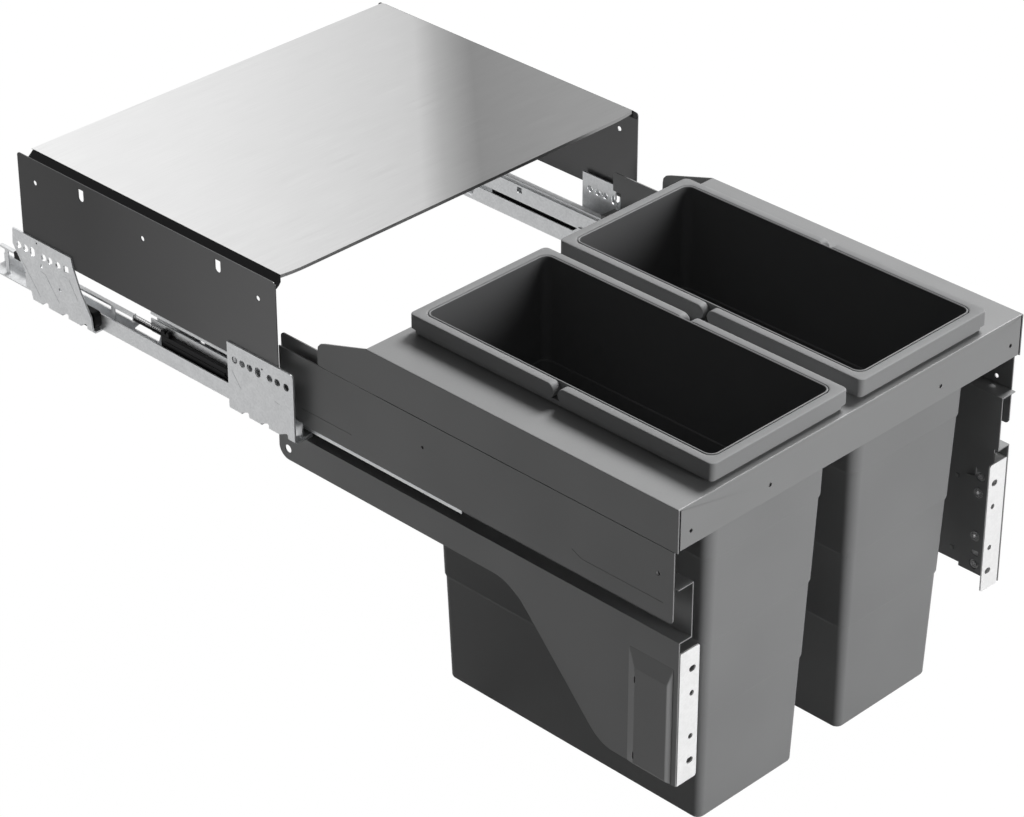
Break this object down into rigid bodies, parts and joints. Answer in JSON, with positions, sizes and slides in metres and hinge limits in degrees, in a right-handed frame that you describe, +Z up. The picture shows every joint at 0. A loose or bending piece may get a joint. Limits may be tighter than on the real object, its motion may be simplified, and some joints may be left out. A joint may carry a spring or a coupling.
{
  "type": "pull out bin frame",
  "caption": "Full extension pull out frame for a base cabinet, with lift out waste bins, soft close slides, adjustable door brackets and a fixed steel lid shelf.",
  "frame": {"origin": "midway between the cabinet's side walls, at the cabinet's front edge and the height of the brackets' screw holes", "axes": "+X right as seen from the front, +Y to the rear of the cabinet, +Z up"},
  "size_m": [0.562, 1.075, 0.4747],
  "materials": {
    "dark_coat": "satin powder coat",
    "lid_steel": "fine brushed",
    "galvanised": "galvanised, dull",
    "bracket_zinc": "white zinc",
    "bright_steel": "plain",
    "black_plastic": "matt",
    "bin_plastic": "fine grain"
  },
  "bodies": {
    "cabinet_side": {"left_cabinet_plate": "dark_coat", "left_lid_carrier": "black_plastic", "left_front_bracket": "galvanised", "left_rear_bracket": "galvanised", "left_cabinet_rail": "galvanised", "left_damper_housing": "black_plastic", "left_spring_track": "galvanised", "left_rail_foot": "black_plastic", "left_rail_end_clip": "black_plastic", "left_catch_spring": "bright_steel", "right_cabinet_plate": "dark_coat", "right_lid_carrier": "black_plastic", "right_front_bracket": "galvanised", "right_rear_bracket": "galvanised", "right_cabinet_rail": "galvanised", "right_damper_housing": "black_plastic", "right_spring_track": "galvanised", "right_rail_foot": "black_plastic", "right_rail_end_clip": "black_plastic", "right_catch_spring": "bright_steel", "lid_shelf": "lid_steel", "rail_rivets": "galvanised"},
    "left_catch": {"left_catch": "black_plastic"},
    "right_catch": {"right_catch": "black_plastic"},
    "middle_rails": {"left_middle_rail": "galvanised", "right_middle_rail": "galvanised"},
    "lower_cages": {"left_lower_cage": "black_plastic", "right_lower_cage": "black_plastic", "lower_rollers": "bright_steel"},
    "upper_cages": {"left_upper_cage": "black_plastic", "right_upper_cage": "black_plastic", "upper_rollers": "bright_steel"},
    "drawer": {"frame_top_plate": "dark_coat", "left_drawer_rail": "galvanised", "left_side_panel": "dark_coat", "left_door_arm": "dark_coat", "left_front_cover": "bin_plastic", "left_adjuster_plate": "dark_coat", "left_clamp_screws": "bright_steel", "left_bin": "bin_plastic", "left_bin_front_handle": "bin_plastic", "left_bin_rear_handle": "bin_plastic", "right_drawer_rail": "galvanised", "right_side_panel": "dark_coat", "right_door_arm": "dark_coat", "right_front_cover": "bin_plastic", "right_adjuster_plate": "dark_coat", "right_clamp_screws": "bright_steel", "right_bin": "bin_plastic", "right_bin_front_handle": "bin_plastic", "right_bin_rear_handle": "bin_plastic"},
    "left_door_bracket": {"left_door_bracket": "bracket_zinc"},
    "left_upper_cam": {"left_upper_cam": "bright_steel"},
    "left_lower_cam": {"left_lower_cam": "bright_steel"},
    "right_door_bracket": {"right_door_bracket": "bracket_zinc"},
    "right_upper_cam": {"right_upper_cam": "bright_steel"},
    "right_lower_cam": {"right_lower_cam": "bright_steel"}
  },
  "joints": [
    {"name": "drawer_slide", "type": "slide", "parent": "cabinet_side", "child": "drawer", "axis": [0, 1, 0], "range_m": [0, 0.538]},
    {"name": "middle_slide", "type": "slide", "parent": "cabinet_side", "child": "middle_rails", "axis": [0, 1, 0], "range_m": [0, 0.269]},
    {"name": "lower_cage_slide", "type": "slide", "parent": "cabinet_side", "child": "lower_cages", "axis": [0, 1, 0], "range_m": [0, 0.1345]},
    {"name": "upper_cage_slide", "type": "slide", "parent": "cabinet_side", "child": "upper_cages", "axis": [0, 1, 0], "range_m": [0, 0.4035]},
    {"name": "left_catch_slide", "type": "slide", "parent": "cabinet_side", "child": "left_catch", "axis": [0, 1, 0], "range_m": [0, 0.034], "deforming": ["left_catch_spring"]},
    {"name": "right_catch_slide", "type": "slide", "parent": "cabinet_side", "child": "right_catch", "axis": [0, 1, 0], "range_m": [0, 0.034], "deforming": ["right_catch_spring"]},
    {"name": "left_upper_cam_turn", "type": "hinge", "parent": "drawer", "child": "left_upper_cam", "pos_m": [-0.256, -0.5085, -0.1423], "axis": [1, 0, 0], "range_deg": [-60, 60]},
    {"name": "left_lower_cam_turn", "type": "hinge", "parent": "drawer", "child": "left_lower_cam", "pos_m": [-0.256, -0.5085, -0.1983], "axis": [1, 0, 0], "range_deg": [-60, 60]},
    {"name": "left_door_height", "type": "slide", "parent": "drawer", "child": "left_door_bracket", "axis": [0, 0, 1], "range_m": [-0.002, 0.002]},
    {"name": "right_upper_cam_turn", "type": "hinge", "parent": "drawer", "child": "right_upper_cam", "pos_m": [0.256, -0.5085, -0.1423], "axis": [1, 0, 0], "range_deg": [-60, 60]},
    {"name": "right_lower_cam_turn", "type": "hinge", "parent": "drawer", "child": "right_lower_cam", "pos_m": [0.256, -0.5085, -0.1983], "axis": [1, 0, 0], "range_deg": [-60, 60]},
    {"name": "right_door_height", "type": "slide", "parent": "drawer", "child": "right_door_bracket", "axis": [0, 0, 1], "range_m": [-0.002, 0.002]}
  ],
  "couplings": [
    {"joint": "middle_slide", "follows": "drawer_slide", "ratio": 0.5},
    {"joint": "lower_cage_slide", "follows": "drawer_slide", "ratio": 0.25},
    {"joint": "upper_cage_slide", "follows": "drawer_slide", "ratio": 0.75},
    {"joint": "right_catch_slide", "follows": "left_catch_slide", "ratio": 1},
    {"joint": "left_upper_cam_turn", "follows": "left_door_height", "rad_per_m": 400},
    {"joint": "left_lower_cam_turn", "follows": "left_door_height", "rad_per_m": 400},
    {"joint": "right_upper_cam_turn", "follows": "right_door_height", "rad_per_m": 400},
    {"joint": "right_lower_cam_turn", "follows": "right_door_height", "rad_per_m": 400}
  ]
}
